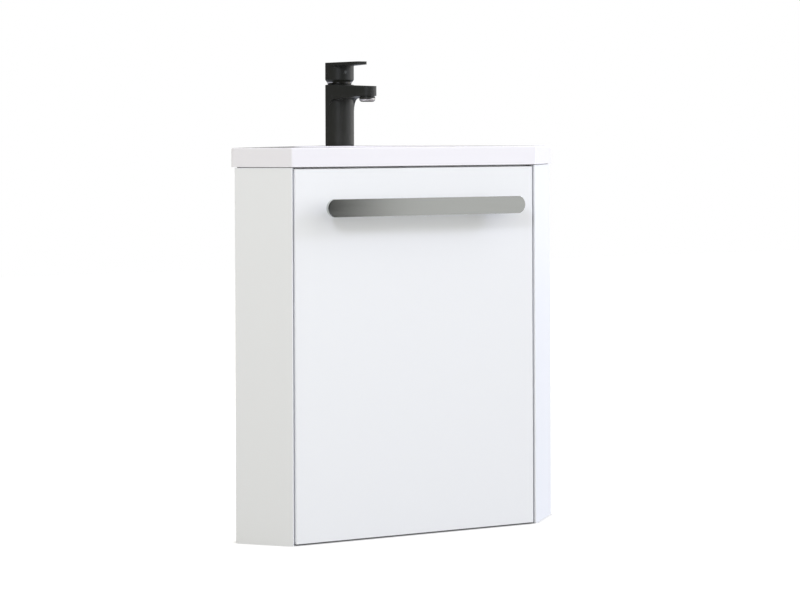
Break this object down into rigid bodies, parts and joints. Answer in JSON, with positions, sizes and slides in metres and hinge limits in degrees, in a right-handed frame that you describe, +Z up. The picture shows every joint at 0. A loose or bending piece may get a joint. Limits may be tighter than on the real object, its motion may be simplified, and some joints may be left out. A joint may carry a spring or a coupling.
{
  "type": "corner vanity unit",
  "caption": "Wall-hung corner vanity unit: white cabinet with a flush door across the corner, ceramic basin top and dark single-lever mixer tap.",
  "frame": {"origin": "middle of the bounding box, on the plane of the cabinet's underside", "axes": "+Z up, the door faces -Y, the room's corner is at +Y, +X is to the right for someone facing the door"},
  "size_m": [0.5644, 0.3958, 0.744],
  "materials": {
    "cabinet_white": "smooth white gloss foil on board",
    "raw_wood": "plain sawn timber",
    "ceramic_white": "gloss white glaze",
    "chromed_metal": "polished",
    "rubber_black": "matt",
    "bumper_clear": "satin",
    "plastic_black": "moulded",
    "plastic_white": "moulded",
    "tap_anthracite": "matt anthracite",
    "index_grey": "moulded",
    "brass_parts": "turned",
    "steel_parts": "zinc plated",
    "pull_metal": "satin nickel"
  },
  "bodies": {
    "cabinet": {"left_return_panel": "cabinet_white", "right_return_panel": "cabinet_white", "left_wall_panel": "cabinet_white", "right_wall_panel": "cabinet_white", "bottom_panel": "cabinet_white", "front_top_rail": "cabinet_white", "shelf": "cabinet_white", "left_hanging_rail": "raw_wood", "right_hanging_rail": "raw_wood", "corner_block": "raw_wood", "basin": "ceramic_white", "overflow_ring": "chromed_metal", "waste_flange": "chromed_metal", "basin_seal": "rubber_black", "waste_seals": "rubber_black", "tap_gasket": "rubber_black", "fixing_washer": "rubber_black", "waste_locknut": "plastic_black", "tail_pipe": "plastic_white", "tail_nut": "plastic_white", "trap_body": "plastic_white", "trap_inlet_nut": "plastic_white", "trap_cup": "plastic_white", "trap_outlet_nut": "plastic_white", "outlet_pipe": "plastic_white", "cartridge_body": "plastic_white", "tap_body": "tap_anthracite", "aerator": "tap_anthracite", "cartridge_nut": "brass_parts", "fixing_stud": "brass_parts", "stud_nut": "brass_parts", "shelf_pins": "steel_parts", "fixing_plate": "steel_parts", "upper_hinge_arm": "steel_parts", "lower_hinge_arm": "steel_parts", "upper_hinge_plate": "steel_parts", "lower_hinge_plate": "steel_parts", "arm_screws": "steel_parts", "plate_screws": "steel_parts"},
    "door": {"door_panel": "cabinet_white", "pull_bar": "pull_metal", "pull_posts": "pull_metal", "pull_screws": "steel_parts", "door_bumpers": "bumper_clear", "upper_hinge_cup": "steel_parts", "lower_hinge_cup": "steel_parts", "hinge_pins": "steel_parts", "cup_screws": "steel_parts"},
    "lever_carrier": {"cartridge_spindle": "steel_parts", "lever_pin": "steel_parts"},
    "lever": {"lever_stem": "steel_parts", "lever": "tap_anthracite", "index_plug": "index_grey", "grub_screw": "steel_parts"},
    "plug": {"waste_plug": "chromed_metal"}
  },
  "joints": [
    {"name": "door_swing", "type": "hinge", "parent": "cabinet", "child": "door", "pos_m": [0.2007, -0.14836, 0.3], "axis": [0, 0, 1], "range_deg": [0, 100]},
    {"name": "lever_turn", "type": "hinge", "parent": "cabinet", "child": "lever_carrier", "pos_m": [0, 0.12946, 0.7], "axis": [0, 0, 1], "range_deg": [-45, 45]},
    {"name": "lever_lift", "type": "hinge", "parent": "lever_carrier", "child": "lever", "pos_m": [0, 0.12946, 0.72], "axis": [-1, 0, 0], "range_deg": [0, 18]},
    {"name": "plug_lift", "type": "slide", "parent": "cabinet", "child": "plug", "axis": [0, 0, 1], "range_m": [0, 0.008]}
  ]
}
